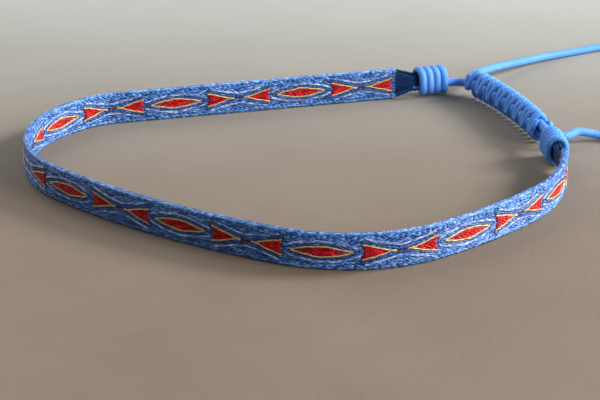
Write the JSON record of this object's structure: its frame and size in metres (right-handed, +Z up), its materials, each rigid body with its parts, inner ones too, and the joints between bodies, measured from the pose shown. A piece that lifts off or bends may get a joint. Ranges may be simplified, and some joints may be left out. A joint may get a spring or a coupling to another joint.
{
  "type": "woven bracelet",
  "caption": "Narrow loom-woven bracelet with a diamond and arrowhead pattern, standing on its edge, closed by a sliding square-knot cord with two tails.",
  "frame": {"origin": "middle of the loop's box in plan, on the surface that the band stands on", "axes": "+X along the loop's longest side, towards the end where the closure is; +Y away from the stretch with the most visible pattern; +Z up, across the band's width"},
  "size_m": [0.0877, 0.0816, 0.004],
  "materials": {
    "blue warp": "silky embroidery thread",
    "navy weft": "silky embroidery thread",
    "red thread": "silky embroidery thread",
    "gold thread": "silky embroidery thread",
    "silver thread": "silky embroidery thread",
    "bright blue cord": "braided cord"
  },
  "bodies": {
    "front_half": {"front_weft": "navy weft", "front_outer_warp": "blue warp", "front_inner_warp": "blue warp", "front_upper_edge_cord": "blue warp", "front_lower_edge_cord": "blue warp", "front_red_threads": "red thread", "front_gold_threads": "gold thread", "front_silver_threads": "silver thread", "front_gathered_warp": "blue warp", "front_whipping": "bright blue cord", "front_closing_cord": "bright blue cord"},
    "back_half": {"back_weft": "navy weft", "back_outer_warp": "blue warp", "back_inner_warp": "blue warp", "back_upper_edge_cord": "blue warp", "back_lower_edge_cord": "blue warp", "back_red_threads": "red thread", "back_gold_threads": "gold thread", "back_silver_threads": "silver thread", "back_gathered_warp": "blue warp", "back_whipping": "bright blue cord", "back_closing_cord": "bright blue cord"},
    "sliding_knot": {"square_knot_1": "bright blue cord", "square_knot_2": "bright blue cord", "square_knot_3": "bright blue cord", "square_knot_4": "bright blue cord", "square_knot_5": "bright blue cord", "square_knot_6": "bright blue cord", "square_knot_7": "bright blue cord", "short_side_tail": "bright blue cord", "short_side_tail_coil": "bright blue cord", "short_side_stopper_knot": "bright blue cord", "far_side_tail": "bright blue cord", "far_side_stopper_knot": "bright blue cord"}
  },
  "joints": [
    {"name": "loop_open", "type": "hinge", "parent": "front_half", "child": "back_half", "pos_m": [-0.03012, -0.00274, 0.002], "axis": [0, 0, 1], "range_deg": [-1.5, 24]},
    {"name": "knot_slide", "type": "hinge", "parent": "front_half", "child": "sliding_knot", "pos_m": [-0.03012, -0.00274, 0.002], "axis": [0, 0, 1], "range_deg": [-0.75, 12]}
  ],
  "couplings": [
    {"joint": "knot_slide", "follows": "loop_open", "ratio": 0.5}
  ]
}
